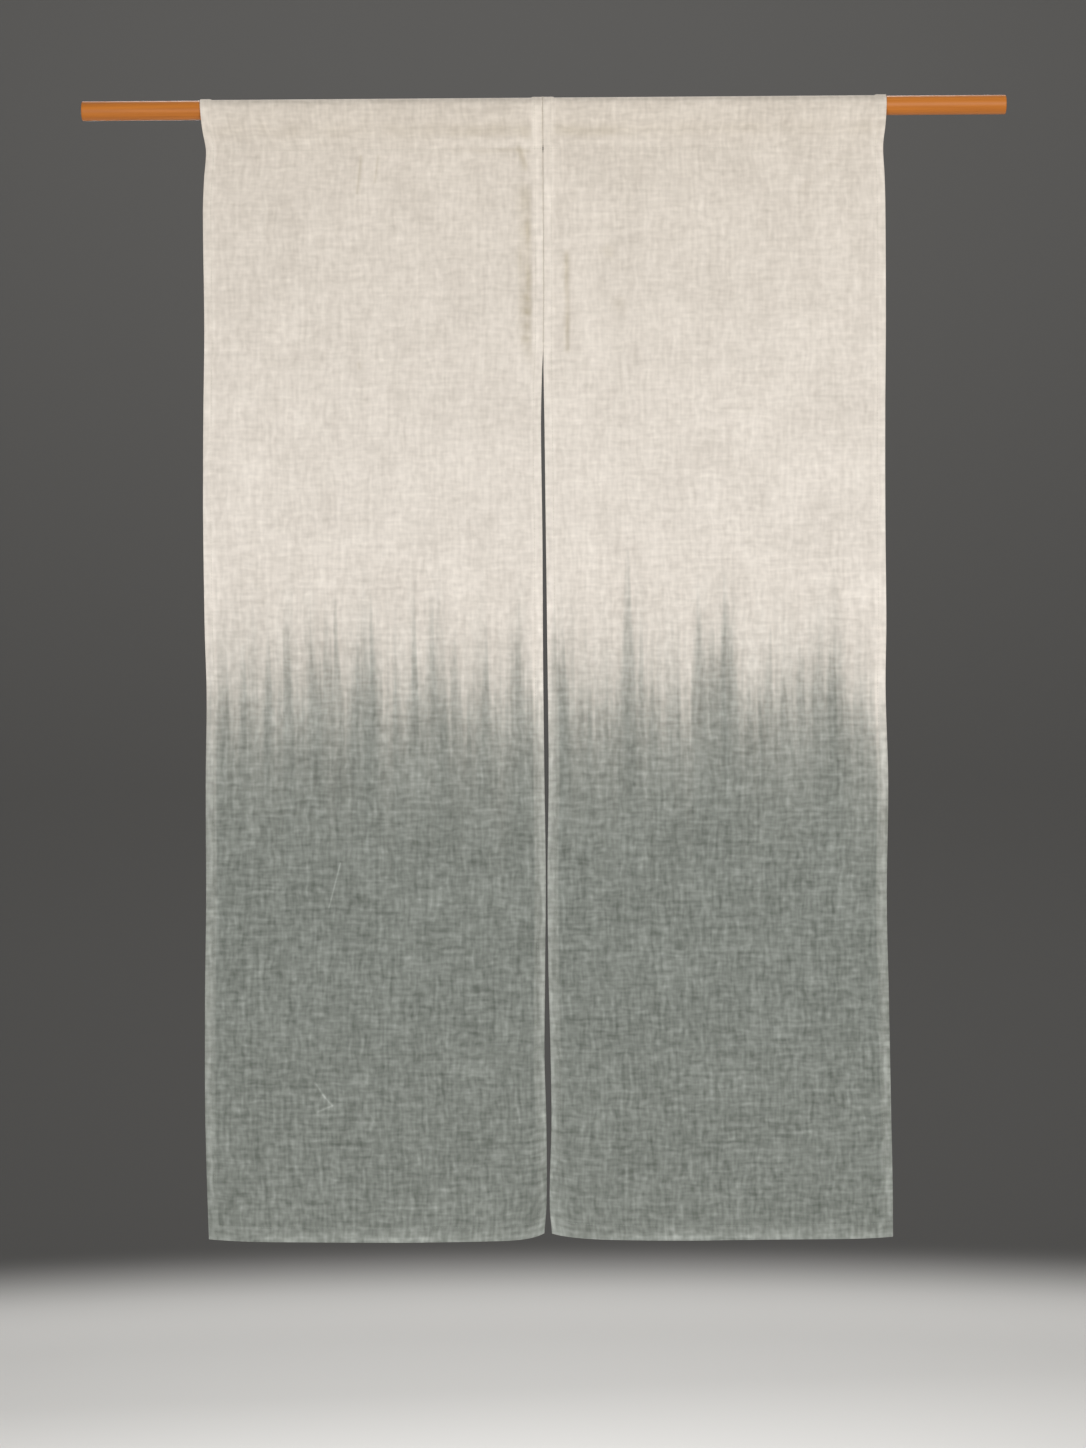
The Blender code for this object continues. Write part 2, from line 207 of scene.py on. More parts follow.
# Faint wisps of dye that crept higher up a few yarns.
Wisp = namedtuple("Wisp", "across reach top")
WISP_LINE = 0.775
WISPS = [Wisp(*row) for row in (
    (0.028, 0.005, 0.715), (0.049, 0.004, 0.690), (0.083, 0.004, 0.680), (0.107, 0.006, 0.660),
    (0.140, 0.010, 0.700), (0.160, 0.006, 0.650), (0.173, 0.006, 0.635), (0.204, 0.005, 0.690),
    (0.222, 0.005, 0.640), (0.277, 0.004, 0.648), (0.300, 0.008, 0.640), (0.330, 0.006, 0.680),
    (0.372, 0.003, 0.645), (0.415, 0.007, 0.668), (0.457, 0.006, 0.645), (0.469, 0.004, 0.685),
    (0.555, 0.009, 0.580), (0.572, 0.005, 0.690), (0.649, 0.009, 0.628), (0.666, 0.008, 0.655),
    (0.684, 0.011, 0.630), (0.742, 0.005, 0.668), (0.785, 0.006, 0.705), (0.806, 0.005, 0.710),
    (0.826, 0.011, 0.722), (0.868, 0.004, 0.745),
)]
WISP_FADE = 0.085  # the stretch over which a wisp comes in
WISP_STRENGTH = 0.31
WISP_CREEP = 0.8  # how closely the wisps follow the dye line's unevenness
CURVE_POINTS = 150  # along a panel, for the curves of tongues and wisps
HIGHEST = 0.25  # the most that either may climb

# Share of the dye below (+) and above (-) its line.
Share = namedtuple("Share", "below share")
DYE_SHARE = [Share(*row) for row in (
    (-0.165, 0.00), (-0.115, 0.06), (-0.075, 0.16), (-0.025, 0.36), (0.000, 0.49),
    (0.040, 0.66), (0.110, 0.87), (0.180, 0.96), (0.280, 1.00),
)]
HEM_LAG = 0.045  # how much lower the dye stays in the doubled hems
HEM_LOSS = 0.10  # share of the dye that the hems do not take

CREEP = [Streak(*row) for row in (
    (0.0050, 0.150, 0.044, 5.3), (0.0026, 0.090, 0.014, 8.9),
    (0.0150, 0.300, 0.045, 2.2), (0.0060, 0.012, 0.021, 4.4),
)]
YARNS = [Streak(*row) for row in (
    (0.0040, 0.050, 0.62, 6.7), (0.0074, 0.080, 0.60, 3.9),
    (0.0026, 0.010, 0.40, 1.1), (0.0056, 0.016, 0.92, 2.6),
)]
FLECKS = Streak(0.0088, 0.0080, 0.95, 14.2)
PATCHES = Streak(0.055, 0.080, 0.060, 9.1)
WARP_SHARE = 1.06  # strength of the yarns that run down the cloth
WEFT_SHARE = 0.94  # and of those that run across it
YARN_WANDER = 0.0034  # how far yarns stray from straight lines
YARN_WIDTH = 0.0009  # from yarn to yarn of the weave
WEAVE_MEAN = 0.62  # mean height of the weave, as a share of its crests'
WEAVE_PAINTED_SHADE = 0.05  # how much lighter its crests are painted than its hollows, as painted shade
WEAVE_HEIGHT = 0.00012
SLUB_HEIGHT = 0.00010
# Painted light: the hems lighter, as their three layers let less of the dark behind show through.
HEM_PAINTED_LIGHT = 0.018
WARMTH_GREEN, WARMTH_BLUE = 0.05, 0.28  # what the painted shade takes from each besides, to warm it

# How strongly the yarns show: at the top, lower down, and what the dye adds.
GRAIN_AT_TOP = 0.082
GRAIN_LOSS = 0.028
GRAIN_IN_DYE = 0.036
SHADED_TOP_DROP = 0.55  # down to here the cloth's top is painted a little darker, as painted shade

# Colours as they look on a screen, each as red, green and blue out of 255.
# Painted shade: the cream darker at the top of the cloth.
SHADED_CREAM_AT_TOP = (201, 191, 178)
CREAM = (214, 206, 196)
GREY_GREEN = (121, 125, 119)
THREAD_DARK, THREAD_LIGHT = (172, 166, 153), (214, 208, 195)
DYED_THREAD_DARK, DYED_THREAD_LIGHT = (118, 123, 117), (168, 172, 163)
SCREEN_GAMMA = 2.2

# Painted light and shade over the folds, creases, seam and pocket: lighter (+) on ridges and hems,
# darker (-) in troughs, puckers, dents, the seam's gap and the band under the rod, each as a soft
# line from one place to another. The broad ones are spread on the cloth's grid, and the fine ones,
# FINE_SHADE_AND_WEAR, are drawn in its dye: painted shade and highlight at the gathers and a dent,
# and light creases in the dyed cloth, worn paler and with painted highlight along their ridges.
Tone = namedtuple("Tone", "across drop to_across to_drop width tone")
FOLD_SHADING = [Tone(*row) for row in (
    (0.440, 0.020, 0.440, 0.330, 0.0065, 0.026), (0.456, 0.020, 0.455, 0.330, 0.0075, 0.022),
    (0.457, 0.130, 0.457, 0.255, 0.0070, 0.018), (0.424, 0.125, 0.426, 0.335, 0.0095, -0.030),
    (0.427, 0.165, 0.428, 0.250, 0.0036, -0.034), (0.478, 0.205, 0.479, 0.330, 0.0034, -0.052),
    (0.000, 0.042, 0.448, 0.045, 0.0090, -0.010), (0.300, 0.042, 0.425, 0.047, 0.0085, -0.018),
    (0.465, 0.043, 0.560, 0.047, 0.0075, -0.030), (0.560, 0.044, 0.896, 0.043, 0.0070, -0.012),
    (0.310, 0.058, 0.430, 0.062, 0.0045, 0.022), (0.465, 0.057, 0.600, 0.058, 0.0045, 0.020),
    (0.330, 0.069, 0.430, 0.071, 0.0026, -0.022), (0.416, 0.066, 0.424, 0.092, 0.0040, -0.040),
    (0.4475, 0.015, 0.4472, 0.320, 0.0012, -0.030), (0.425, 0.262, 0.427, 0.264, 0.0045, -0.040),
    (0.424, 0.281, 0.427, 0.282, 0.0045, -0.045), (0.423, 0.299, 0.426, 0.300, 0.0042, -0.040),
    (0.423, 0.317, 0.426, 0.318, 0.0042, -0.030), (0.417, 0.170, 0.416, 0.300, 0.0030, -0.022),
    (0.845, 0.069, 0.782, 0.113, 0.0050, 0.020), (0.862, 0.084, 0.805, 0.126, 0.0050, 0.016),
    (0.838, 0.078, 0.790, 0.120, 0.0060, -0.014), (0.530, 0.200, 0.534, 0.208, 0.0050, -0.035),
    (0.546, 0.272, 0.552, 0.280, 0.0060, -0.030),
)]
FOLD_SHADING_WAVER = Streak(0.030, 1.0, 0.0035, 5.5)
FOLD_SHADING_PATCHES = Streak(0.022, 0.030, 1.3, 8.8)
MARK_SOFTNESS = 1.6  # how far beside its line a mark fades out, in its widths
FINE_SHADE_AND_WEAR = [Tone(*row) for row in (
    (0.206, 0.076, 0.203, 0.124, 0.0026, -0.062), (0.212, 0.078, 0.213, 0.114, 0.0034, 0.034),
    (0.229, 0.076, 0.226, 0.110, 0.0026, -0.044), (0.177, 1.002, 0.162, 1.060, 0.0016, 0.110),
    (0.145, 1.290, 0.158, 1.310, 0.0020, 0.080), (0.155, 1.306, 0.167, 1.320, 0.0024, 0.100),
    (0.167, 1.320, 0.148, 1.328, 0.0024, 0.110), (0.218, 1.333, 0.221, 1.340, 0.0026, 0.080),
    (0.411, 1.326, 0.413, 1.344, 0.0026, 0.080), (0.205, 0.347, 0.206, 0.353, 0.0030, -0.050),
)]

# Light lines along the dyed edges, at the slit, outside and at the bottom, the one at the bottom a
# painted highlight on the hem's lit fold: how far in from the edge, and how wide and light.
EdgeLine = namedtuple("EdgeLine", "inset width tone")
EDGE_LINES = (EdgeLine(0.0030, 0.0032, 0.068), EdgeLine(0.0062, 0.0034, 0.050), EdgeLine(0.0040, 0.0065, 0.055))
EDGE_LINES_FROM = 0.62  # where down the curtain they begin
EDGE_LINES_RUN = 0.25  # the stretch over which they come in
EDGE_LINE_PATCHES = Streak(0.020, 0.020, 1.2, 4.6)

# Threads
THREAD = 0.00042
STITCH = 0.0029
STITCH_PITCH = 0.0036
SEAM_STITCH = 0.0024
SEAM_STITCH_PITCH = 0.0024
SEAM_COLUMN = 0.0012  # the seam is sewn over the first open column past this distance
LASHING = 0.0034  # length of the close stitches at the bottom of the seam
LASHING_PITCH = 0.0008
STITCH_RISE = 0.15  # of a thread's middle over the cloth, in thicknesses of it
SEAM_STITCH_RISE = 0.3
THREAD_FADE = 0.180  # height over which the thread takes the dye
THREAD_TWIST = 900.0  # waves of light and dark to the metre

# Wood, as the shader's own linear colours
WOOD_DARK, WOOD_LIGHT = (0.27, 0.074, 0.009, 1.0), (0.66, 0.225, 0.032, 1.0)

# Studio
FLOOR = -2.85
FLOOR_RADIUS = 6.2
FLOOR_COLOUR = (0.72, 0.71, 0.69, 1.0)
SWEEP_RADIUS = 1.8  # of the curve from the floor up into the wall
SWEEP_STEPS = 12
STUDIO_SIDES = 96
WALL_TOP = 5.0
WALL_COLOUR = (0.095, 0.093, 0.090, 1.0)
WALL_FADE = 0.20  # height over which the floor's colour deepens to the wall's
CAMERA_PLACE = (0.598, -4.0, -0.8075)
CAMERA_LENS = 75.87
CAMERA_ROLL = 0.0073


def ease(share):
    """Smooth step from 0 to 1, level at both ends."""
    share = min(max(share, 0.0), 1.0)
    return share * share * (3 - 2 * share)


def bell(distance, reach):
    """1 at a place, falling softly to 0 beyond its reach."""
    return math.exp(-(distance / reach) ** 2)


def follow(rows, drop, column):
    """A table's column at a drop, on one smooth curve through its rows."""
    values = [getattr(row, column) for row in rows]
    drops = [row.drop for row in rows]
    after = next((i for i, at in enumerate(drops) if at >= drop), len(rows) - 1)
    after = max(after, 1)
    before = after - 1
    span = drops[after] - drops[before]

    def slope(i):
        low, high = max(i - 1, 0), min(i + 1, len(rows) - 1)
        return (values[high] - values[low]) / (drops[high] - drops[low])

    t = min(max((drop - drops[before]) / span, 0.0), 1.0)
    start = values[before] * (1 + 2 * t) * (1 - t) ** 2 + values[after] * t * t * (3 - 2 * t)
    bend = slope(before) * t * (1 - t) ** 2 - slope(after) * t * t * (1 - t)
    return start + bend * span


def slit_opening(drop):
    """Gap between the panels, never less than what touching pieces keep."""
    nip = 0.0017 * bell(drop - POCKET_DEPTH, 0.0035)
    if drop <= SEAM_LENGTH:
        return TOUCHING_GAP + nip
    return max(follow(SLIT, drop, "opening"), TOUCHING_GAP)


def panel_edges(side, drop):
    """X of a panel's middle edge and of its outer edge at a drop."""
    middle = MIDDLE + follow(SLIT, drop, "centre") + side * slit_opening(drop) / 2
    if side < 0:
        return middle, CURTAIN_LEFT + follow(EDGES, drop, "left")
    return middle, CURTAIN_LEFT + CURTAIN_WIDTH + follow(EDGES, drop, "right")


def fold_depth(fold, across, drop):
    """How far one fold stands back at a place on the cloth."""
    if not fold.begin < drop < fold.end:
        return 0.0
    run = (drop - fold.begin) / (fold.end - fold.begin)
    crest = fold.across + fold.drift * run
    return fold.depth * math.sin(math.pi * run) ** 0.8 * bell(across - crest, fold.reach)


def beside_line(line, across, drop):
    """How far along a line a place is, as a share of it, and how far beside the line."""
    run_x, run_z = line.to_across - line.across, line.to_drop - line.drop
    off_x, off_z = across - line.across, drop - line.drop
    share = (off_x * run_x + off_z * run_z) / (run_x ** 2 + run_z ** 2)
    on_line = min(max(share, 0.0), 1.0)
    return share, math.hypot(off_x - on_line * run_x, off_z - on_line * run_z)


def crease_depth(crease, across, drop):
    """How far one crease stands back at a place on the cloth."""
    share, beside = beside_line(crease, across, drop)
    if not 0.0 < share < 1.0:
        return 0.0
    return crease.depth * math.sin(math.pi * share) ** 0.7 * bell(beside, crease.width)


def chance(across, drop, streak):
    """Noise in a streak's sizes and strength, around zero."""
    place = Vector((across / streak.width, drop / streak.length, streak.seed))
    return streak.strength * noise.noise(place)


def crumple(across, drop):
    """Slight unevenness of linen that has been folded away and hung up again."""
    return sum(chance(across, drop, streak) for streak in CRUMPLES)


def hem_ripple(distance, drop):
    """Small ripples that a hem's stitching draws into it."""
    from_edge = min(distance, PANEL_WIDTH - distance)
    from_stitches = min(abs(from_edge - SIDE_STITCH),
                        abs(CURTAIN_HEIGHT - drop - BOTTOM_STITCH))
    return bell(from_stitches, RIPPLE_REACH) * chance(distance, drop, RIPPLE)


def corner_pull(side, across, drop, column, spread, begin):
    """How far the bottom corners' hems pull the cloth near them: their lift or their curl."""
    pull = sum(getattr(c, column) * math.exp(-abs(across - c.across) / (spread * c.reach))
               for c in CORNERS if c.side == side)
    return pull * ease((drop - begin) / (CURTAIN_HEIGHT - begin))


def hang_depth(side, across, drop):
    """How far the cloth stands back from the rod's plane at a place on it."""
    depth = 0.0
    for fold in FOLDS:
        if fold.side in (0, side):
            depth += fold_depth(fold, across, drop)
    depth += corner_pull(side, across, drop, "curl", 2, CORNER_CURL_FROM)
    for dent in DENTS:
        depth += dent.depth * bell(math.hypot(across - dent.across, drop - dent.drop), dent.reach)
    depth += crumple(across, drop)
    return depth * ease((drop - POCKET_DEPTH) / POCKET_HOLD)


def fold_shading_at(across, drop):
    """How much lighter or darker the painted light and shade of the folds, creases, seam and
    pocket make a place on the cloth.
    """
    total = 0.0
    drop += chance(across, 0.4, FOLD_SHADING_WAVER)
    patchy = 1 + chance(across, drop, FOLD_SHADING_PATCHES)
    for mark in FOLD_SHADING:
        _, beside = beside_line(mark, across, drop)
        total += mark.tone * bell(beside, mark.width)
    return total * patchy


def edge_tone(distance, drop):
    """The light lines along the dyed hems' edges, the one at the bottom a painted highlight on its
    lit fold.
    """
    edges = zip((distance, PANEL_WIDTH - distance, CURTAIN_HEIGHT - drop), EDGE_LINES)
    lightest = max(edge_line.tone * bell(from_edge - edge_line.inset, edge_line.width) for from_edge, edge_line in edges)
    patchy = 1 + chance(distance, drop, EDGE_LINE_PATCHES)
    return lightest * patchy * ease((drop - EDGE_LINES_FROM) / EDGE_LINES_RUN)


def near_depth(across, drop):
    """What the creases add, in the pocket too, where they only move its front."""
    return sum(crease_depth(crease, across, drop) for crease in CREASES)


# One column of the cloth's grid: how far from the panel's middle edge it hangs, and its
# layer in a side hem, counted from the front.
Column = namedtuple("Column", "distance layer")


def side_hem():
    """Columns of one side hem, from the raw edge inside it to the hem's front, with the
    distances taken from the hem's own edge."""
    inner_bend = PITCH / 2
    edge_bend = PITCH
    turn_end = SIDE_HEM - LINEN / 2 - inner_bend
    edge_start = LINEN / 2 + edge_bend
    path = [Column(turn_end - SIDE_TURN, 1.0), Column(turn_end - SIDE_TURN / 2, 1.0)]
    for i in range(FOLD_STEPS + 1):
        turn = math.pi * i / FOLD_STEPS
        path.append(Column(turn_end + inner_bend * math.sin(turn), 1.5 - 0.5 * math.cos(turn)))
    path += [Column(place, 2.0) for place in (SIDE_STITCH, 0.0080, 0.0050, 0.0025)]
    for i in range(FOLD_STEPS + 1):
        turn = math.pi * i / FOLD_STEPS
        path.append(Column(edge_start - edge_bend * math.sin(turn) ** 0.6, 1.0 + math.cos(turn)))
    path += [Column(place, 0.0) for place in (0.0025, 0.0050, 0.0075, 0.0093, SIDE_STITCH,
                                              0.0118, 0.0134, 0.0155, 0.0182)]
    return path


def panel_columns():
    """Columns across a panel, from the raw edge in the middle hem to that in the outer."""
    hem = side_hem()
    columns = list(hem)
    place = columns[-1].distance
    last = PANEL_WIDTH - hem[-1].distance
    while place < last - 4 * LEAST_STEP:
        room = last - place
        step = NEAR_COLUMN if place < NEAR_REACH else WIDE_COLUMN
        place += room / max(1, round(room / step))
        if last - place > LEAST_STEP:
            columns.append(Column(place, 0.0))
    return columns + [Column(PANEL_WIDTH - c.distance, c.layer) for c in reversed(hem)]


# One row of the grid: where the front layer lies in it, which way its layers are stacked,
# and the stacking, in layers: so many per layer under a side hem, so many for the column's
# own layer, and so many always. The bulge is the row's way out round a fold.
Row = namedtuple("Row", "y z out_y out_z stack own fixed bulge")


def flat_row(z, stack, own, fixed):
    return Row(FRONT, z, 1.0, 0.0, stack, own, fixed, 0.0)


def fold_rows(z, start, end, towards):
    """Rows round a fold of the whole stack, from one stacking to another."""
    rows = []
    for i in range(FOLD_STEPS + 1):
        turn = math.pi * i / FOLD_STEPS
        share = 0.5 - 0.5 * math.cos(turn)
        stacking = [a + (b - a) * share for a, b in zip(start, end)]
        rows.append(Row(FRONT, z, 1.0, 0.0, *stacking, towards * math.sin(turn)))
    return rows


def leaf_row(share, sign, spread):
    """A row of the pocket's front (sign -1) or back (1), from the stitching (share 0) to
    the level of the rod's middle (1)."""
    foot = -FRONT if sign < 0 else FRONT + 2 * PITCH
    swell = POCKET_RADIUS - foot
    y = sign * (foot + swell * (0.5 - 0.5 * math.cos(math.pi * share)))
    slope = swell * math.pi / 2 * math.sin(math.pi * share) / abs(STITCH_LINE)
    length = math.hypot(1.0, slope)
    return Row(y, STITCH_LINE * (1 - share), sign / length, -slope / length,
               spread, -1.0, -spread, 0.0)


MIDDLE_LAYER, OUTER_LAYER, FRONT_LAYER = (1.0, 1.0, 0.0), (3.0, -1.0, -1.0), (0.0, 1.0, 0.0)


def panel_rows():
    """Rows up a panel: from the raw edge inside the bottom hem, round the hem, up the
    front, over the rod and down to the turned-in edge of the pocket's back."""
    fold_top = BOTTOM + BOTTOM_HEM - BEND_ROOM
    fold_low = BOTTOM + LINEN / 2 + PITCH
    rows = [flat_row(fold_top - BOTTOM_TURN, *MIDDLE_LAYER)]
    rows.append(flat_row(fold_top - BOTTOM_TURN / 2, *MIDDLE_LAYER))
    rows += fold_rows(fold_top, MIDDLE_LAYER, OUTER_LAYER, 1.0)
    ups = (BOTTOM_STITCH, 0.0150, 0.0100, 0.0050)
    rows += [flat_row(BOTTOM + up, *OUTER_LAYER) for up in ups]
    rows += fold_rows(fold_low, OUTER_LAYER, FRONT_LAYER, -1.0)
    ups = (0.0030, 0.0060, 0.0100, 0.0140, 0.0176, BOTTOM_STITCH, 0.0210, 0.0232, 0.0270)
    rows += [flat_row(BOTTOM + up, *FRONT_LAYER) for up in ups]
    near_stitches = (0.0090, 0.0060, 0.0036, 0.0014)
    z, end = BOTTOM + ups[-1], STITCH_LINE - near_stitches[0]
    while z < end - LEAST_STEP:
        step = NEAR_ROW if TOP - z < NEAR_ROWS_TO else WIDE_ROW
        z += (end - z) / max(1, round((end - z) / step))
        rows.append(flat_row(z, *FRONT_LAYER))
    rows += [flat_row(STITCH_LINE - below, *FRONT_LAYER) for below in near_stitches[1:]]
    shares = [0.0, 0.025, 0.06, 0.11, 0.17]
    even = (1 - shares[-1]) / LEAF_STEPS
    shares += [shares[-1] + even * i for i in range(1, LEAF_STEPS)]
    rows += [leaf_row(share, -1.0, share) for share in shares]
    for i in range(ROD_STEPS + 1):
        turn = math.pi * i / ROD_STEPS
        out_y, out_z = -math.cos(turn), math.sin(turn)
        rows.append(Row(POCKET_RADIUS * out_y, POCKET_RADIUS * out_z, out_y, out_z,
                        1.0, -1.0, -1.0, 0.0))
    rows += [leaf_row(share, 1.0, 3.0 - 2.0 * share) for share in reversed(shares)]
    flap = STITCH_LINE - POCKET_FLAP + BEND_ROOM
    rows += [flat_row(STITCH_LINE - below, *OUTER_LAYER) for below in (0.0014, 0.0034)]
    rows += fold_rows(flap, OUTER_LAYER, MIDDLE_LAYER, -1.0)
    rows += [flat_row(flap + up, *MIDDLE_LAYER) for up in (POCKET_TURN / 2, POCKET_TURN)]
    return rows


def hem_layers(distance):
    """How many layers a side hem has at a distance from the panel's middle edge."""
    from_edge = min(distance, PANEL_WIDTH - distance)
    return 3.0 - 2.0 * ease((from_edge - SIDE_HEM) / HEM_STEP)


def cloth_place(side, column, row):
    """Where a crossing of the grid hangs, with its place across and down the curtain."""
    layers = hem_layers(column.distance)
    own = min(column.layer, layers - 1)
    lift = PITCH * (row.stack * layers + row.own * own + row.fixed)
    y, z = row.y + row.out_y * lift, row.z + row.out_z * lift
    bulge = PITCH * (3 * layers - 1 - 2 * own) / 2
    z += row.bulge * bulge / (1 + HEM_PRESS * (layers - 1))
    drop = TOP - row.z
    across = CURTAIN_WIDTH / 2 + side * column.distance
    middle, outer = panel_edges(side, drop)
    x = middle + (outer - middle) * column.distance / PANEL_WIDTH
    y += hang_depth(side, across, drop)
    if row.y <= 0.0:
        y += near_depth(across, drop)
    if drop > POCKET_DEPTH + 0.004:
        y += hem_ripple(column.distance, drop)
    z += corner_pull(side, across, drop, "lift", 1, CORNER_RISE_FROM)
    hem = max((layers - 1) / 2, ease((drop - BOTTOM_HEM_TOP) / HEM_STEP))
    # Painted light and shade of the folds on the cloth's front, and the light lines along its dyed
    # edges.
    tone = fold_shading_at(across, drop) if row.y <= 0.0 else 0.0
    tone += edge_tone(column.distance, drop)
    return Vector((x, y, z)), Vector((across, drop, hem)), tone


def new_object(name, bm, material, smooth_angle=60):
    """Makes the bmesh an object of its own, smooth up to an angle."""
    mesh = bpy.data.meshes.new(name)
    bm.to_mesh(mesh)
    bm.free()
    mesh.shade_smooth()
    mesh.set_sharp_from_angle(angle=math.radians(smooth_angle))
    mesh.materials.append(material)
    piece = bpy.data.objects.new(name, mesh)
    bpy.context.scene.collection.objects.link(piece)
    return piece


def running_lengths(points):
    """Distances along a line of points from its first one."""
    lengths = [0.0]
    for a, b in zip(points, points[1:]):
        lengths.append(lengths[-1] + (b - a).length)
    return lengths


def hang_panel(name, side, material):
    """One linen panel with its folded hems and rod pocket; side is -1 left, 1 right.
    Returns it with its grid of places, for the stitches."""
    columns, rows = panel_columns(), panel_rows()
    bm = bmesh.new()
    bmesh.ops.create_grid(bm, x_segments=len(columns) - 1, y_segments=len(rows) - 1, size=0.5)
    hang = bm.verts.layers.float_vector.new("hang")
    # Per corner: the painted light and shade of the folds, and the light lines along the dyed
    # edges.
    tone = bm.verts.layers.float.new("tone")
    cloth = bm.loops.layers.uv.new("cloth")
    grid = [[None] * len(columns) for _ in rows]
    index = {}
    for vert in bm.verts:
        i = round((vert.co.x + 0.5) * (len(columns) - 1))
        j = round((vert.co.y + 0.5) * (len(rows) - 1))
        vert.co, vert[hang], vert[tone] = cloth_place(side, columns[i], rows[j])
        grid[j][i] = vert.co.copy()
        index[vert] = (i, j)
    widths = running_lengths([Vector((c.distance, PITCH * c.layer, 0)) for c in columns])
    profile = []
    for row in rows:
        lift = PITCH * (row.stack + row.fixed)
        rise = row.out_z * lift + row.bulge * PITCH
        profile.append(Vector((0, row.y + row.out_y * lift, row.z + rise)))
    lengths = running_lengths(profile)
    for face in bm.faces:
        for loop in face.loops:
            i, j = index[loop.vert]
            loop[cloth].uv = (side * widths[i], lengths[j])
    low_front = (len(columns) // 2, len(rows) // 3)
    face = next(f for f in bm.faces if low_front in {index[v] for v in f.verts})
    face.normal_update()
    if face.normal.y > 0:
        bmesh.ops.reverse_faces(bm, faces=bm.faces[:])
    panel = new_object(name, bm, material, 180)
    thickness = panel.modifiers.new("thickness", "SOLIDIFY")
    thickness.thickness = LINEN
    thickness.offset = 0.0
    return panel, columns, rows, grid, (widths[-1], lengths[-1])


def along(line, pitch, end=None):
    """Evenly spaced (place, direction, normal) along a line of (place, normal)."""
    lengths = running_lengths([place for place, _ in line])
    end = end or lengths[-1]
    count = max(1, int(end / pitch))
    at = 0
    for n in range(count):
        reach = (n + 0.5) * end / count
        while at < len(lengths) - 2 and lengths[at + 1] < reach:
            at += 1
        (a, out_a), (b, out_b) = line[at], line[at + 1]
        share = (reach - lengths[at]) / (lengths[at + 1] - lengths[at])
        yield a.lerp(b, share), (b - a).normalized(), out_a.lerp(out_b, share).normalized()


def plain_stitch():
    """One stitch of unit size, lying along Z: its corners, and its faces in a fixed order."""
    bm = bmesh.new()
    bmesh.ops.create_uvsphere(bm, u_segments=6, v_segments=6, radius=1.0)
    bm.verts.index_update()
    corners = [vert.co.copy() for vert in bm.verts]
    faces = sorted([vert.index for vert in face.verts] for face in bm.faces)
    bm.free()
    return corners, faces


class Stitches:
    """Many stitches gathered into one piece."""

    def __init__(self):
        self.corners, self.faces = plain_stitch()
        self.places = []

    def add(self, place, direction, out, length, lift):
        """One stitch lying on the cloth along a direction, raised by the lift."""
        across = out.cross(direction).normalized()
        turn = Matrix((across, out, direction)).transposed().to_4x4()
        size = Matrix.Diagonal((THREAD / 2, THREAD / 2, length / 2, 1.0))
        self.places.append(Matrix.Translation(place + out * lift) @ turn @ size)

    def piece(self, name, material):
        verts, faces = [], []
        for matrix in self.places:
            faces += [[len(verts) + i for i in face] for face in self.faces]
            verts += [matrix @ corner for corner in self.corners]
        mesh = bpy.data.meshes.new(name)
        mesh.from_pydata(verts, [], faces)
        mesh.shade_smooth()
        mesh.materials.append(material)
        made = bpy.data.objects.new(name, mesh)
        bpy.context.scene.collection.objects.link(made)
        return made


def grid_normal(grid, j, i, side):
    """Direction out of the cloth's face side at a crossing of its grid."""
    left, right = grid[j][max(i - 1, 0)], grid[j][min(i + 1, len(grid[j]) - 1)]
    low, high = grid[max(j - 1, 0)][i], grid[min(j + 1, len(grid) - 1)][i]
    return side * (right - left).cross(high - low).normalized()


def grid_line(grid, cells, side):
    return [(grid[j][i], grid_normal(grid, j, i, side)) for j, i in cells]


def sewn_rows(rows, reach):
    """Numbers of the rows from a drop on the panel's front, over the rod, to the last row
    of the pocket's back that lies open."""
    first = next(j for j, r in enumerate(rows)
                 if (r.stack, r.own) == (0.0, 1.0) and TOP - r.z < reach)
    last = max(j for j, r in enumerate(rows) if r.bulge == 0.0 and r.stack == 3.0)
    return range(first, last + 1)


def sew_hems(name, side, columns, rows, grid, material):
    """The stitching of one panel's hems and of its pocket."""
    sewn = Stitches()
    lift = LINEN / 2 + THREAD * STITCH_RISE
    seams = []
    for i, column in enumerate(columns):
        from_edge = min(column.distance, PANEL_WIDTH - column.distance)
        if abs(from_edge - SIDE_STITCH) < SAME_PLACE:
            seams.append([(j, i) for j in sewn_rows(rows, CURTAIN_HEIGHT)])
    inside = [i for i, c in enumerate(columns) if c.layer == 0.0]
    flat = [(j, r) for j, r in enumerate(rows) if r.bulge == 0.0 and r.stack in (0.0, 3.0)]
    for level in (BOTTOM + BOTTOM_STITCH, STITCH_LINE):
        seams += [[(j, i) for i in inside] for j, r in flat if abs(r.z - level) < SAME_PLACE]
    for seam in seams:
        for place, direction, out in along(grid_line(grid, seam, side), STITCH_PITCH):
            sewn.add(place, direction, out, STITCH, lift)
    return sewn.piece(name, material)


def sew_seam(name, left, right, material):
    """The ladder of stitches that joins the panels, down the front and over the pocket."""
    sewn = Stitches()
    lines = []
    for side, (_, columns, rows, grid, _) in ((-1, left), (1, right)):
        i = next(i for i, c in enumerate(columns) if c.layer == 0.0 and c.distance > SEAM_COLUMN)
        cells = [(j, i) for j in sewn_rows(rows, SEAM_LENGTH)]
        lines.append(grid_line(grid, cells, side))
    middle = [((a + b) / 2, (out_a + out_b).normalized())
              for (a, out_a), (b, out_b) in zip(*lines)]
    places = list(along(middle, SEAM_STITCH_PITCH))
    places += list(along(middle, LASHING_PITCH, end=LASHING))
    lift = LINEN / 2 + THREAD * SEAM_STITCH_RISE
    for place, direction, out in places:
        sewn.add(place, direction.cross(out), out, SEAM_STITCH, lift)
    return sewn.piece(name, material)


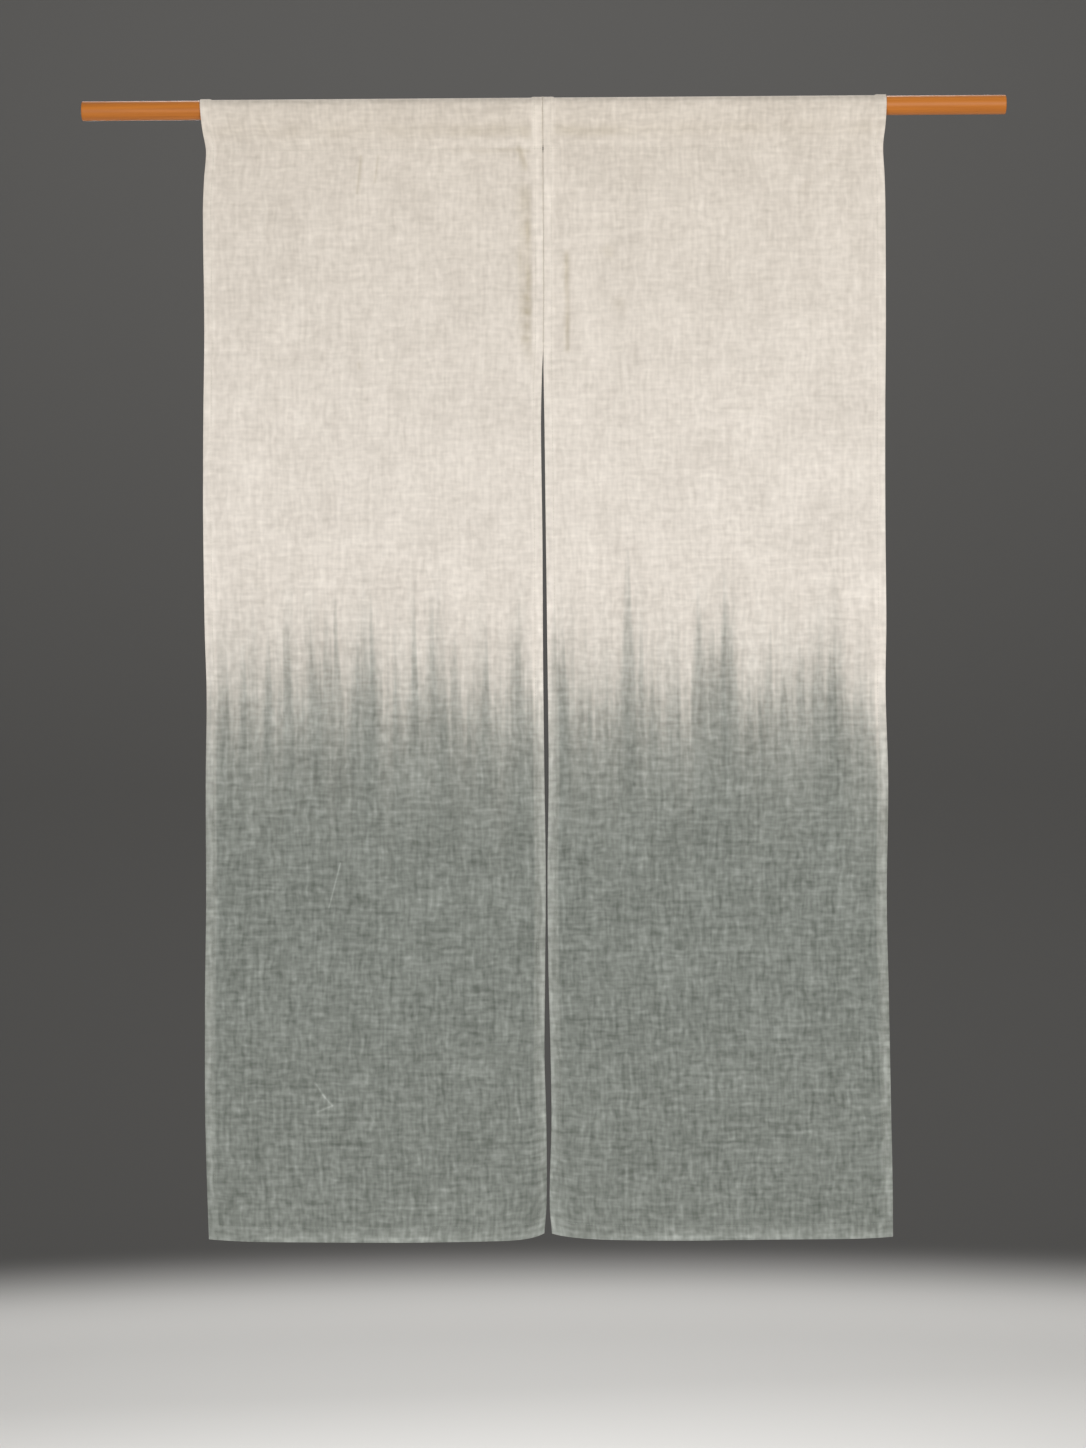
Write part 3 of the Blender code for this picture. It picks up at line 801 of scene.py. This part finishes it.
class Wires:
    """Builds a material's nodes with few words."""

    def __init__(self, name):
        self.material = bpy.data.materials.new(name)
        self.material.use_nodes = True
        self.tree = self.material.node_tree
        self.shader = self.tree.nodes["Principled BSDF"]

    def node(self, kind, settings=(), **inputs):
        """A node with its settings and its inputs, each a value or another node's socket."""
        made = self.tree.nodes.new(kind)
        for key, value in dict(settings).items():
            setattr(made, key, value)
        for key, value in inputs.items():
            socket = made.inputs[int(key[2:])] if key.startswith("at") else made.inputs[key]
            self.feed(socket, value)
        return made

    def feed(self, socket, value):
        if isinstance(value, bpy.types.NodeSocket):
            self.tree.links.new(value, socket)
        else:
            socket.default_value = value

    def math(self, operation, *values, clamp=False):
        inputs = {"at%d" % i: value for i, value in enumerate(values)}
        settings = {"operation": operation, "use_clamp": clamp}
        return self.node("ShaderNodeMath", settings, **inputs).outputs[0]

    def vectors(self, operation, a, b):
        """A node that works on two vectors."""
        return self.node("ShaderNodeVectorMath", {"operation": operation}, at0=a, at1=b)

    def place_on_piece(self):
        """X, Y and Z on the piece itself."""
        place = self.node("ShaderNodeTexCoord").outputs["Object"]
        return self.node("ShaderNodeSeparateXYZ", Vector=place).outputs

    def finish(self, colour, roughness, specular):
        """Gives the shader its colour and its gloss."""
        self.feed(self.shader.inputs["Base Color"], colour)
        self.shader.inputs["Roughness"].default_value = roughness
        self.shader.inputs["Specular IOR Level"].default_value = specular
        return self.material

    def relief(self, height, strength):
        """Fine relief that is too small for the mesh."""
        bump = self.node("ShaderNodeBump", Height=height, Strength=strength, Distance=1.0)
        self.feed(self.shader.inputs["Normal"], bump.outputs[0])

    def add(self, *values):
        return reduce(lambda a, b: self.math("ADD", a, b), values)

    def times(self, *values):
        return reduce(lambda a, b: self.math("MULTIPLY", a, b), values)

    def blend(self, share, low, high):
        """From one colour to another."""
        made = self.node("ShaderNodeMix", {"data_type": "RGBA", "clamp_factor": True})
        for socket, value in zip((made.inputs[0], made.inputs[6], made.inputs[7]),
                                 (share, low, high)):
            self.feed(socket, value)
        return made.outputs[2]

    def curve(self, value, points):
        """A value sent through a curve drawn by points from 0 to 1."""
        made = self.node("ShaderNodeFloatCurve")
        drawn = made.mapping.curves[0]
        drawn.points[0].location, drawn.points[1].location = points[0], points[-1]
        for place in points[1:-1]:
            drawn.points.new(*place)
        for point in drawn.points:
            point.handle_type = "AUTO_CLAMPED"
        made.mapping.update()
        self.feed(made.inputs["Value"], value)
        return made.outputs[0]

    def streaks(self, x, y, streak, detail=0.0):
        """Soft streaks of a width and a length, around zero."""
        along_x = self.math("MULTIPLY_ADD", x, 1 / streak.width, streak.seed)
        along_y = self.math("MULTIPLY_ADD", y, 1 / streak.length, streak.seed * 0.37)
        place = self.node("ShaderNodeCombineXYZ", X=along_x, Y=along_y).outputs[0]
        fuzz = self.node("ShaderNodeTexNoise", {"noise_dimensions": "2D"},
                         Vector=place, Scale=1.0, Detail=detail).outputs[0]
        return self.math("SUBTRACT", fuzz, 0.5)

    def line_mark(self, place, mark):
        """A soft line from one place to another, as a tone."""
        start = Vector((mark.across, mark.drop, 0.0))
        run = Vector((mark.to_across, mark.to_drop, 0.0)) - start
        flat = self.vectors("MULTIPLY", place, (1, 1, 0)).outputs[0]
        off = self.vectors("SUBTRACT", flat, start).outputs[0]
        dot = self.vectors("DOT_PRODUCT", off, run / run.length_squared).outputs["Value"]
        share = self.math("ADD", dot, 0.0, clamp=True)
        reach = self.node("ShaderNodeVectorMath", {"operation": "SCALE"}, at0=run, Scale=share)
        beside = self.vectors("DISTANCE", off, reach.outputs[0]).outputs["Value"]
        fade = -1 / (MARK_SOFTNESS * mark.width)
        near = self.math("MULTIPLY_ADD", beside, fade, 1.0, clamp=True)
        return self.times(near, near, mark.tone)


def screen_colour(rgb):
    """A colour as fractions of 255, for mixing before the mixture is made linear."""
    return tuple(part / 255 for part in rgb) + (1.0,)


def rise_at(across):
    return sum(t.rise * math.exp(-abs((across - t.across) / t.reach) ** 1.8) for t in TONGUES)


def wisp_at(across):
    return max((WISP_LINE - w.top) * math.exp(-abs((across - w.across) / w.reach) ** 1.7)
               for w in WISPS)


def across_curve(wires, across, side, height):
    """A height over the dye's level, drawn along one panel by a function."""
    start = 0.0 if side < 0 else CURTAIN_WIDTH - PANEL_WIDTH
    share = wires.times(wires.math("SUBTRACT", across, start), 1 / PANEL_WIDTH)
    points = []
    for i in range(CURVE_POINTS + 1):
        at = i / CURVE_POINTS
        points.append((at, 0.5 + height(start + at * PANEL_WIDTH) / HIGHEST / 2))
    drawn = wires.curve(share, points)
    return wires.times(wires.math("SUBTRACT", drawn, 0.5), 2 * HIGHEST)


def dye_taken(wires, side, across, drop, hem):
    """How much dye the cloth took, from 0 to 1: the climbing line, then the wisps over it."""
    creep = wires.add(*(wires.times(wires.streaks(across, drop, s), s.strength) for s in CREEP))
    rise = across_curve(wires, across, side, rise_at)
    below = wires.add(wires.math("SUBTRACT", drop, DYE_LINE), rise, creep,
                      wires.times(hem, -HEM_LAG))
    low, high = DYE_SHARE[0].below, DYE_SHARE[-1].below
    scaled = wires.times(wires.math("SUBTRACT", below, low), 1 / (high - low))
    share = wires.curve(scaled, [((s.below - low) / (high - low), s.share) for s in DYE_SHARE])
    climb = across_curve(wires, across, side, wisp_at)
    over = wires.add(wires.math("SUBTRACT", drop, WISP_LINE), climb,
                     wires.times(creep, WISP_CREEP))
    faint = wires.times(wires.math("MULTIPLY", over, 1 / WISP_FADE, clamp=True), WISP_STRENGTH)
    bare = wires.times(wires.math("SUBTRACT", 1.0, share), wires.math("SUBTRACT", 1.0, faint))
    taken = wires.math("SUBTRACT", 1.0, bare)
    return wires.times(taken, wires.math("MULTIPLY_ADD", hem, -HEM_LOSS, 1.0))


def uneven_yarns(wires, u, v):
    """Thick and thin stretches of the yarns, in both directions of the weave."""
    stray_u = wires.streaks(u, v, Streak(0.030, 0.024, YARN_WANDER, 31.4))
    stray_v = wires.streaks(u, v, Streak(0.024, 0.030, YARN_WANDER, 35.2))
    u_yarn = wires.add(u, wires.times(stray_u, YARN_WANDER))
    v_yarn = wires.add(v, wires.times(stray_v, YARN_WANDER))
    yarns = []
    for warp in YARNS:
        weft = warp._replace(seed=warp.seed + 20.0)
        fuzz = wires.streaks(u_yarn, v_yarn, warp)
        yarns.append(wires.times(fuzz, warp.strength * WARP_SHARE))
        fuzz = wires.streaks(v_yarn, u_yarn, weft)
        yarns.append(wires.times(fuzz, weft.strength * WEFT_SHARE))
    yarns.append(wires.times(wires.streaks(u, v, FLECKS, 1.0), FLECKS.strength))
    return wires.add(*yarns)


def plain_weave(wires, u, v):
    """Height of the weave, its warp and weft over and under each other."""
    warp = wires.math("SINE", wires.times(u, math.pi / YARN_WIDTH))
    weft = wires.math("SINE", wires.times(v, math.pi / YARN_WIDTH))
    turns = wires.math("MULTIPLY", wires.times(warp, weft), 2.5)
    over_under = wires.math("MAXIMUM", wires.math("MINIMUM", turns, 1.0), -1.0)
    tops = []
    for yarn, sign in ((warp, 0.5), (weft, -0.5)):
        shown = wires.math("MULTIPLY_ADD", over_under, sign, 0.5)
        tops.append(wires.times(wires.math("ABSOLUTE", yarn), shown))
    return wires.math("MAXIMUM", *tops)


def dyed_linen(name, side):
    """Natural linen, dipped in grey-green dye from below, and woven of uneven yarns."""
    wires = Wires(name)
    hang = wires.node("ShaderNodeAttribute", {"attribute_name": "hang"}).outputs["Vector"]
    across, drop, hem = wires.node("ShaderNodeSeparateXYZ", Vector=hang).outputs
    uv = wires.node("ShaderNodeUVMap", {"uv_map": "cloth"}).outputs[0]
    u, v, _ = wires.node("ShaderNodeSeparateXYZ", Vector=uv).outputs
    dye = dye_taken(wires, side, across, drop, hem)
    slubs = uneven_yarns(wires, u, v)
    weave = plain_weave(wires, u, v)

    # How strongly the yarns show.
    patches = wires.streaks(u, v, PATCHES, 1.0)
    down = wires.math("SQRT", wires.math("MULTIPLY", drop, 1 / SHADED_TOP_DROP, clamp=True))
    strength = wires.add(wires.math("MULTIPLY_ADD", down, -GRAIN_LOSS, GRAIN_AT_TOP),
                         wires.times(dye, GRAIN_IN_DYE))
    grain = wires.add(wires.times(slubs, strength), wires.times(patches, PATCHES.strength))

    # The cloth's colour, lighter or darker with its yarns and with painted light and shade: on the
    # weave's crests and hollows, on the hems, over the folds and marks, and darker towards the
    # top. The painted shade is warmed a little too.
    shading_and_wear = wires.node("ShaderNodeAttribute", {"attribute_name": "tone"}).outputs["Fac"]
    for mark in FINE_SHADE_AND_WEAR:
        shading_and_wear = wires.add(shading_and_wear, wires.line_mark(hang, mark))
    cream = wires.blend(down, screen_colour(SHADED_CREAM_AT_TOP), screen_colour(CREAM))
    colour = wires.blend(dye, cream, screen_colour(GREY_GREEN))
    woven = wires.times(wires.math("SUBTRACT", weave, WEAVE_MEAN), WEAVE_PAINTED_SHADE)
    lighter = wires.add(grain, woven, wires.times(hem, HEM_PAINTED_LIGHT), shading_and_wear)
    painted_shade = wires.math("MINIMUM", shading_and_wear, 0.0)
    green = wires.add(lighter, wires.times(painted_shade, WARMTH_GREEN))
    blue = wires.add(lighter, wires.times(painted_shade, WARMTH_BLUE))
    shade = wires.node("ShaderNodeCombineXYZ", X=lighter, Y=green, Z=blue).outputs[0]
    summed = wires.vectors("ADD", colour, shade).outputs[0]
    linear = wires.node("ShaderNodeGamma", Color=summed, Gamma=SCREEN_GAMMA).outputs[0]

    height = wires.add(wires.times(weave, WEAVE_HEIGHT), wires.times(slubs, SLUB_HEIGHT))
    wires.relief(height, 0.6)
    wires.shader.inputs["Sheen Weight"].default_value = 0.08
    return wires.finish(linear, roughness=0.92, specular=0.25)


def cotton_thread():
    """Cream sewing thread, twisted, and dipped in the dye with the cloth."""
    wires = Wires("cream sewing thread")
    place = wires.node("ShaderNodeTexCoord").outputs["Object"]
    height = wires.node("ShaderNodeSeparateXYZ", Vector=place).outputs[2]
    twist = wires.node("ShaderNodeTexNoise", Vector=place, Scale=THREAD_TWIST,
                       Detail=1.0).outputs[0]
    plain = wires.blend(twist, screen_colour(THREAD_DARK), screen_colour(THREAD_LIGHT))
    dyed = wires.blend(twist, screen_colour(DYED_THREAD_DARK), screen_colour(DYED_THREAD_LIGHT))
    below = wires.math("SUBTRACT", TOP - DYE_LINE + THREAD_FADE / 2, height)
    colour = wires.blend(wires.math("MULTIPLY", below, 1 / THREAD_FADE, clamp=True), plain, dyed)
    linear = wires.node("ShaderNodeGamma", Color=colour, Gamma=SCREEN_GAMMA).outputs[0]
    return wires.finish(linear, roughness=0.8, specular=0.5)


def wood_lines(wires, lengthwise, round_it, detail):
    """Noise drawn out along the rod, with so many waves to the metre each way."""
    x, y, z = wires.place_on_piece()
    drawn_out = wires.node("ShaderNodeCombineXYZ", X=wires.times(x, lengthwise),
                           Y=wires.times(y, round_it), Z=wires.times(z, round_it)).outputs[0]
    return wires.node("ShaderNodeTexNoise", Vector=drawn_out, Scale=1.0, Detail=detail).outputs[0]


def varnished_wood():
    """Warm orange-brown wood with a long fine grain, under varnish."""
    wires = Wires("varnished wood")
    grain = wood_lines(wires, 6.0, 260.0, 3.0)
    bands = wood_lines(wires, 2.5, 70.0, 1.0)
    mixed = wires.add(wires.times(grain, 0.6), wires.times(bands, 0.6), -0.1)
    colour = wires.blend(mixed, WOOD_DARK, WOOD_LIGHT)
    wires.relief(wires.times(grain, 0.0001), 0.5)
    return wires.finish(colour, roughness=0.42, specular=0.22)


def make_rod():
    """The round rod, its ends plain with a softened rim."""
    bm = bmesh.new()
    lie_along_x = Matrix.Translation((ROD_LENGTH / 2, 0, 0)) @ Matrix.Rotation(math.pi / 2, 4, "Y")
    radius = ROD_DIAMETER / 2
    bmesh.ops.create_cone(bm, cap_ends=True, segments=ROD_SIDES, radius1=radius, radius2=radius,
                          depth=ROD_LENGTH, matrix=lie_along_x)
    ends = [f for f in bm.faces if len(f.verts) == ROD_SIDES]
    rims = list({edge for face in ends for edge in face.edges})
    bmesh.ops.bevel(bm, geom=rims, offset=ROD_ROUNDING, segments=3, profile=0.5,
                    affect="EDGES", material=-1)
    return new_object("varnished_rod", bm, varnished_wood(), 40)


def studio_paint():
    """Pale floor that deepens softly up the wall behind."""
    wires = Wires("studio paint")
    up = wires.node("ShaderNodeMapRange", {"interpolation_type": "SMOOTHERSTEP"},
                    Value=wires.place_on_piece()[2])
    for socket, value in zip(up.inputs[1:5], (FLOOR, FLOOR + WALL_FADE, 0.0, 1.0)):
        socket.default_value = value
    colour = wires.blend(up.outputs[0], FLOOR_COLOUR, WALL_COLOUR)
    return wires.finish(colour, roughness=0.9, specular=0.1)


def make_studio():
    """A round floor that curves up into a wall, so that every side has a plain ground."""
    bm = bmesh.new()
    wall = FLOOR_RADIUS + SWEEP_RADIUS
    outline = [(0.0, FLOOR), (FLOOR_RADIUS / 2, FLOOR), (FLOOR_RADIUS, FLOOR)]
    for i in range(1, SWEEP_STEPS + 1):
        turn = math.pi / 2 * i / SWEEP_STEPS
        outline.append((FLOOR_RADIUS + SWEEP_RADIUS * math.sin(turn),
                        FLOOR + SWEEP_RADIUS * (1 - math.cos(turn))))
    outline.append((wall, WALL_TOP))
    verts = [bm.verts.new((MIDDLE + r, 0.0, z)) for r, z in outline]
    edges = [bm.edges.new(pair) for pair in zip(verts, verts[1:])]
    bmesh.ops.spin(bm, geom=verts + edges, cent=(MIDDLE, 0, 0), axis=(0, 0, 1),
                   steps=STUDIO_SIDES, angle=2 * math.pi, use_merge=True)
    bmesh.ops.remove_doubles(bm, verts=bm.verts[:], dist=10 * SAME_PLACE)
    bmesh.ops.recalc_face_normals(bm, faces=bm.faces[:])
    up = next(f for f in bm.faces if f.calc_center_median().z < FLOOR + 100 * SAME_PLACE)
    if up.normal.z < 0:
        bmesh.ops.reverse_faces(bm, faces=bm.faces[:])
    return new_object("studio_floor", bm, studio_paint(), 60)


def soft_light(name, place, aim, size, power):
    """A large square lamp, turned towards a point."""
    data = bpy.data.lights.new(name, "AREA")
    data.shape = "SQUARE"
    data.size = size
    data.energy = power
    lamp = bpy.data.objects.new(name, data)
    lamp.location = place
    lamp.rotation_euler = (Vector(aim) - Vector(place)).to_track_quat("-Z", "Y").to_euler()
    lamp.visible_camera = False
    bpy.context.scene.collection.objects.link(lamp)


def light_studio():
    middle = (MIDDLE, 0.0, -0.75)
    soft_light("key", (2.3, -3.9, 0.1), middle, 2.0, 115.0)
    soft_light("fill", (-1.3, -4.1, -0.8), middle, 2.4, 82.0)
    soft_light("back", (0.0, 4.2, 0.6), middle, 2.4, 100.0)
    soft_light("floor light", (MIDDLE, 3.8, 3.6), (MIDDLE, 5.2, FLOOR), 3.0, 270.0)
    world = bpy.data.worlds.new("studio")
    world.use_nodes = True
    glow = world.node_tree.nodes["Background"]
    glow.inputs["Color"].default_value = (1.0, 0.99, 0.97, 1.0)
    glow.inputs["Strength"].default_value = 0.42
    bpy.context.scene.world = world
    bpy.context.scene.view_settings.view_transform = "Standard"


def place_camera():
    data = bpy.data.cameras.new("camera")
    data.lens = CAMERA_LENS
    camera = bpy.data.objects.new("camera", data)
    camera.location = CAMERA_PLACE
    camera.rotation_euler = (math.pi / 2, CAMERA_ROLL, 0.0)
    bpy.context.scene.collection.objects.link(camera)
    bpy.context.scene.camera = camera


def main():
    rod = make_rod()
    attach(rod, "root")
    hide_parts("rod")

    left = hang_panel("linen_panel_left", -1, dyed_linen("dip-dyed linen, left", -1))
    right = hang_panel("linen_panel_right", 1, dyed_linen("dip-dyed linen, right", 1))
    thread = cotton_thread()
    stitching = {
        -1: sew_hems("hem_stitching_left", -1, *left[1:4], thread),
        1: sew_hems("hem_stitching_right", 1, *right[1:4], thread),
    }
    seam = sew_seam("seam_stitching", left, right, thread)
    for side, name, (panel, *_, flat) in ((-1, "panel_left", left), (1, "panel_right", right)):
        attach(panel, "root")
        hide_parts(name)
        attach(stitching[side], "root")
    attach(seam, "root")

    make_studio()
    light_studio()
    place_camera()


main()
